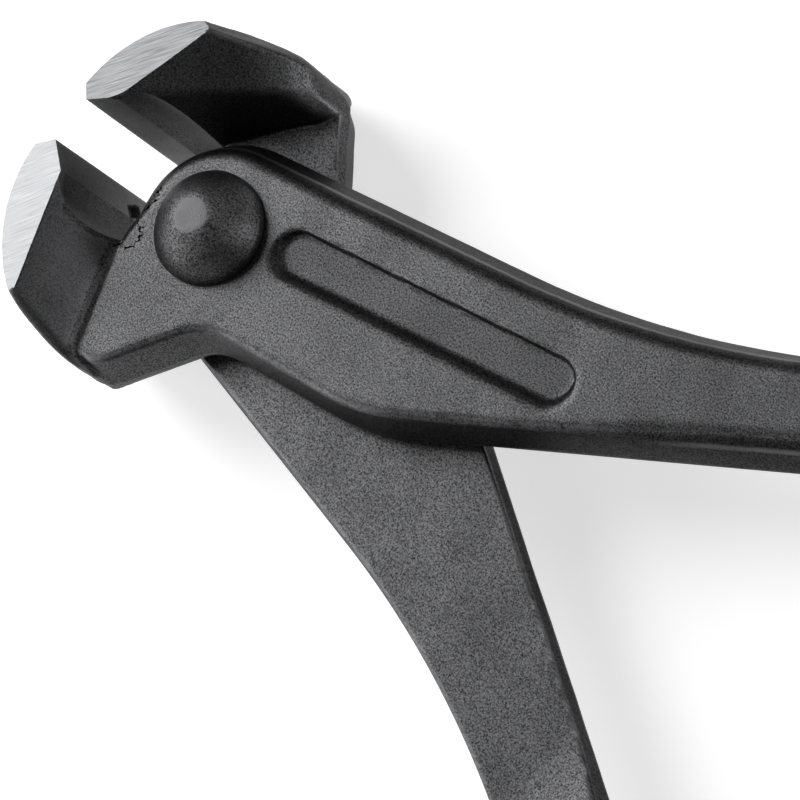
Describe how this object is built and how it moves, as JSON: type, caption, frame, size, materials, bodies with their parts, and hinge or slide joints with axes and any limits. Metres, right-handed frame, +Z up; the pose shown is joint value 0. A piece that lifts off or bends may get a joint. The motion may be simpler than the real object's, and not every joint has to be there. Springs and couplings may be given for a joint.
{
  "type": "end cutting nippers",
  "caption": "Forged end cutting nippers: wide jaws with cutting edges set square to the handles, a lap joint on a domed rivet, bowed handles with dipped grips.",
  "frame": {"origin": "middle of the box's underside: on the surface that the nippers lie on, on the tool's long axis, midway between the jaws' backs and the grips' ends, in the pose of the picture", "axes": "+X along the tool's long axis from the jaws towards the grips, +Z up along the rivet, +Y towards the front lever's handle"},
  "size_m": [0.2216, 0.1006, 0.025],
  "materials": {
    "black_forging": "black phosphate coat on forged steel, fine grained and nearly matt, with bright ground flats on the jaws' sides",
    "black_rivet": "black phosphate coat, satin, with a worn grey flat on each dome",
    "dipped_vinyl": "smooth black dipped vinyl, low sheen"
  },
  "bodies": {
    "front": {"front_lever": "black_forging", "rivet": "black_rivet", "front_grip": "dipped_vinyl"},
    "rear": {"rear_lever": "black_forging", "rear_grip": "dipped_vinyl"}
  },
  "joints": [
    {"name": "pivot", "type": "hinge", "parent": "front", "child": "rear", "pos_m": [-0.09, 0, 0.0125], "axis": [0, 0, -1], "range_deg": [-16, 34]}
  ]
}
